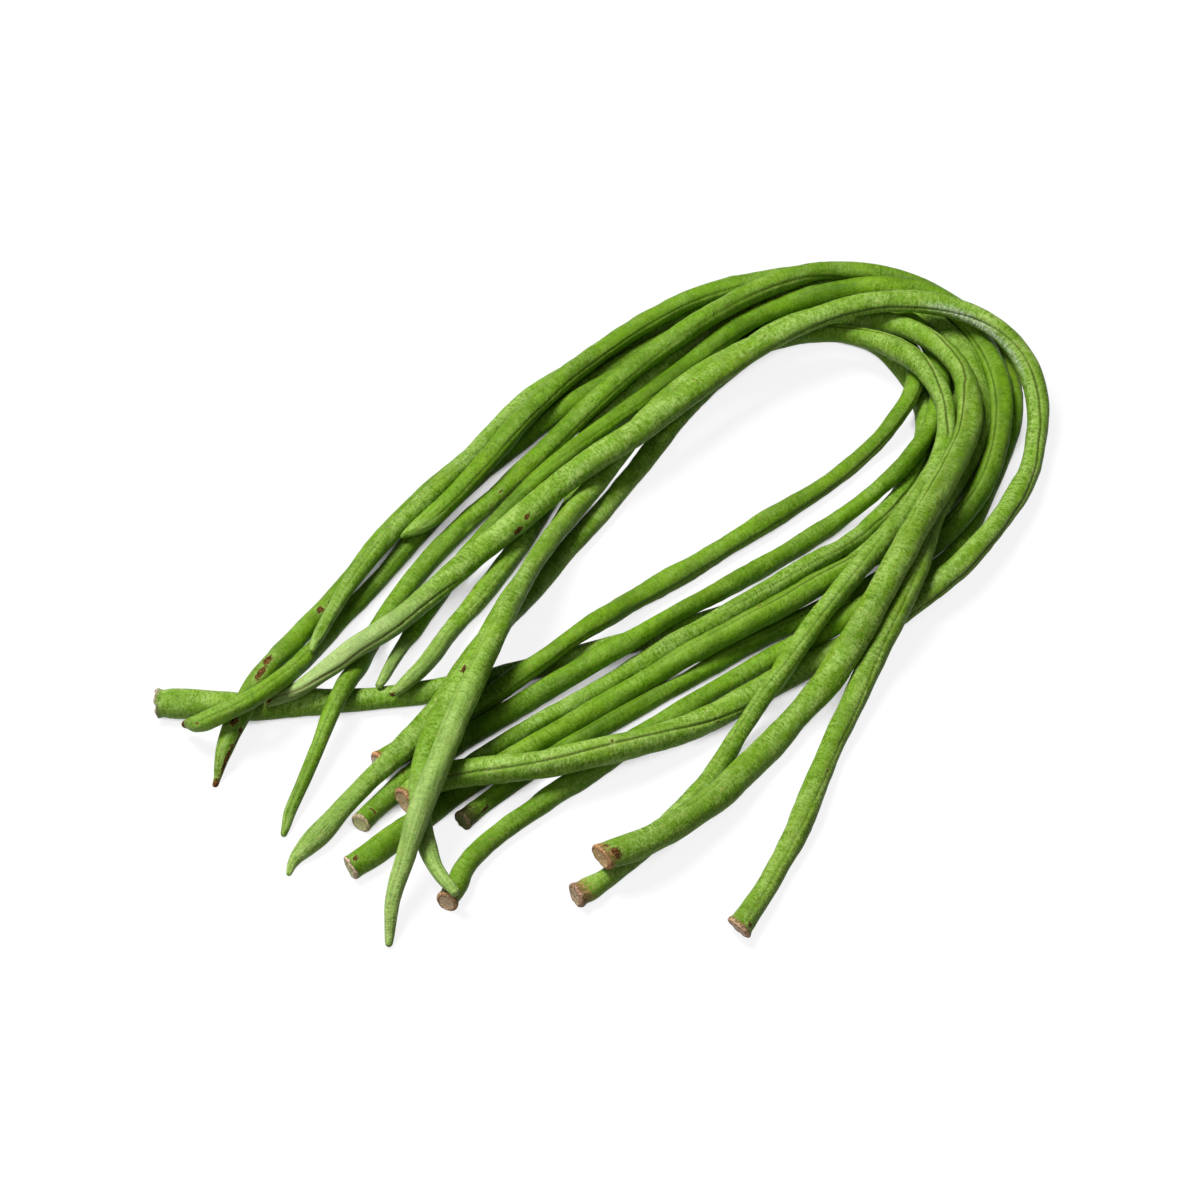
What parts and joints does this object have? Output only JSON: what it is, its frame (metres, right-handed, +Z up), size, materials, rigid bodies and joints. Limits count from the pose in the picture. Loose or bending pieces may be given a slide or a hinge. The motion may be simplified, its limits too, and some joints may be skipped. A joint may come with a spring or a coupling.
{
  "type": "yardlong bean bunch",
  "caption": "Bunch of long thin green bean pods folded together into a U and laid down, with their cut ends and tips fanned out on one side.",
  "frame": {"origin": "under the middle of the bunch's box, on the surface it lies on", "axes": "+X from the fanned cut ends and tips towards the fold, along the longest side of the bunch; +Z up"},
  "size_m": [0.3444, 0.2552, 0.0311],
  "materials": {
    "pod_01_skin": "satin, finely wrinkled green plant skin",
    "pod_02_skin": "satin, finely wrinkled green plant skin",
    "pod_03_skin": "satin, finely wrinkled green plant skin",
    "pod_04_skin": "satin, finely wrinkled green plant skin",
    "pod_05_skin": "satin, finely wrinkled green plant skin",
    "pod_06_skin": "satin, finely wrinkled green plant skin",
    "pod_07_skin": "satin, finely wrinkled green plant skin",
    "pod_08_skin": "satin, finely wrinkled green plant skin",
    "pod_09_skin": "satin, finely wrinkled green plant skin",
    "pod_10_skin": "satin, finely wrinkled green plant skin",
    "pod_11_skin": "satin, finely wrinkled green plant skin"
  },
  "bodies": {
    "root": {"pod_01": "pod_01_skin", "pod_02": "pod_02_skin", "pod_03": "pod_03_skin", "pod_04": "pod_04_skin", "pod_05": "pod_05_skin", "pod_06": "pod_06_skin", "pod_07": "pod_07_skin", "pod_08": "pod_08_skin", "pod_09": "pod_09_skin", "pod_10": "pod_10_skin", "pod_11": "pod_11_skin"}
  },
  "joints": []
}
